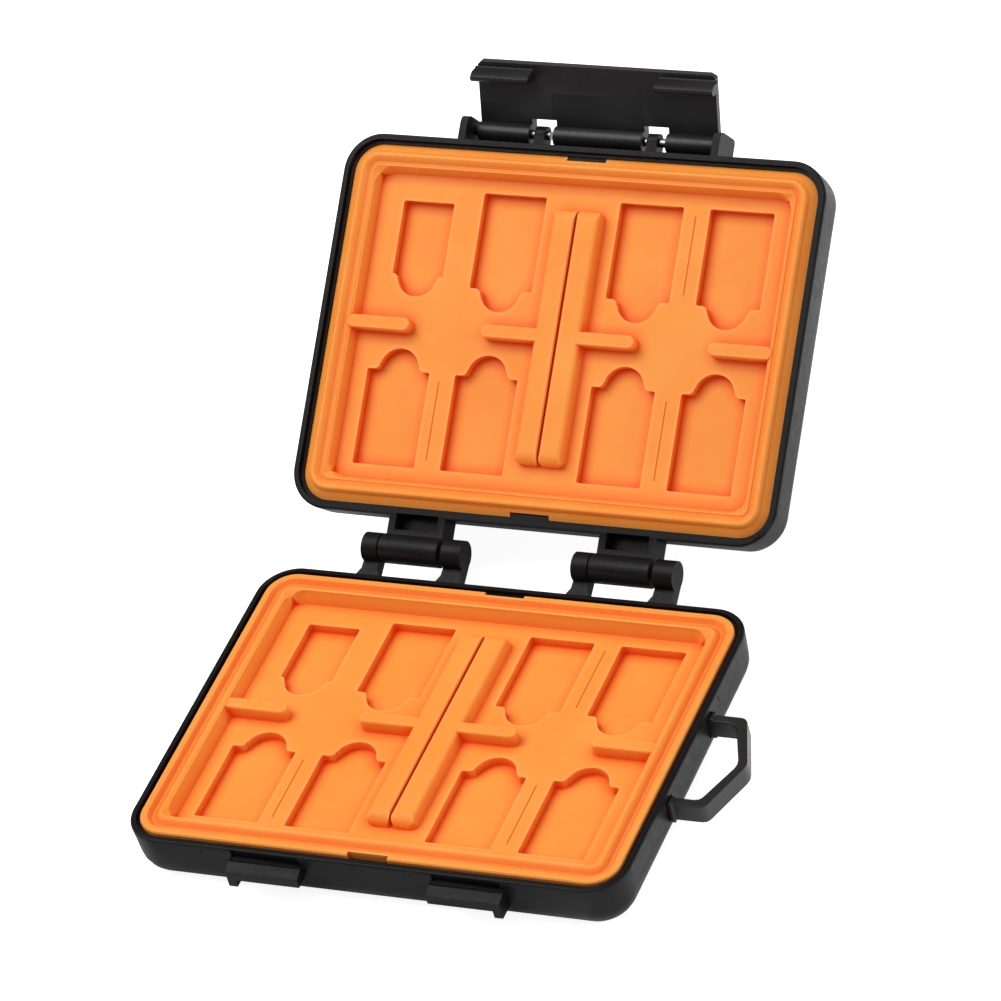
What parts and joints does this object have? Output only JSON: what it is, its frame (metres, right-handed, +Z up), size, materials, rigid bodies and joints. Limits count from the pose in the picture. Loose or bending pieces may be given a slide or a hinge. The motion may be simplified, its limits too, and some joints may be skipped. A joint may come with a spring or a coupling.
{
  "type": "memory card case",
  "caption": "Hinged black hard case with orange silicone liners that hold memory cards in wells and pockets, a tongue and groove seal, a snap latch and a carry loop.",
  "frame": {"origin": "middle of the flat bottom of the base shell, on the surface it stands on", "axes": "+X along the hinges to the carry loop side, +Y from the latch side to the hinges, +Z up out of the base"},
  "size_m": [0.0959, 0.1383, 0.0607],
  "materials": {
    "shell": "satin moulded",
    "trim": "satin moulded",
    "liner": "soft matte silicone",
    "pin": "drawn steel"
  },
  "bodies": {
    "base": {"base_shell": "shell", "base_liner": "liner", "carry_loop": "trim", "hinge_pin_left": "pin", "hinge_pin_right": "pin"},
    "lid": {"lid_shell": "shell", "lid_liner": "liner", "latch_pin_left": "pin", "latch_pin_right": "pin"},
    "latch": {"latch_plate": "trim"}
  },
  "joints": [
    {"name": "lid_hinge", "type": "hinge", "parent": "base", "child": "lid", "pos_m": [0, 0.03742, 0.01047], "axis": [-1, 0, 0], "range_deg": [-143.8, 36.2]},
    {"name": "latch_hinge", "type": "hinge", "parent": "lid", "child": "latch", "pos_m": [0, 0.09763, 0.04964], "axis": [-1, 0, 0], "range_deg": [-58.8, 51.2]}
  ]
}
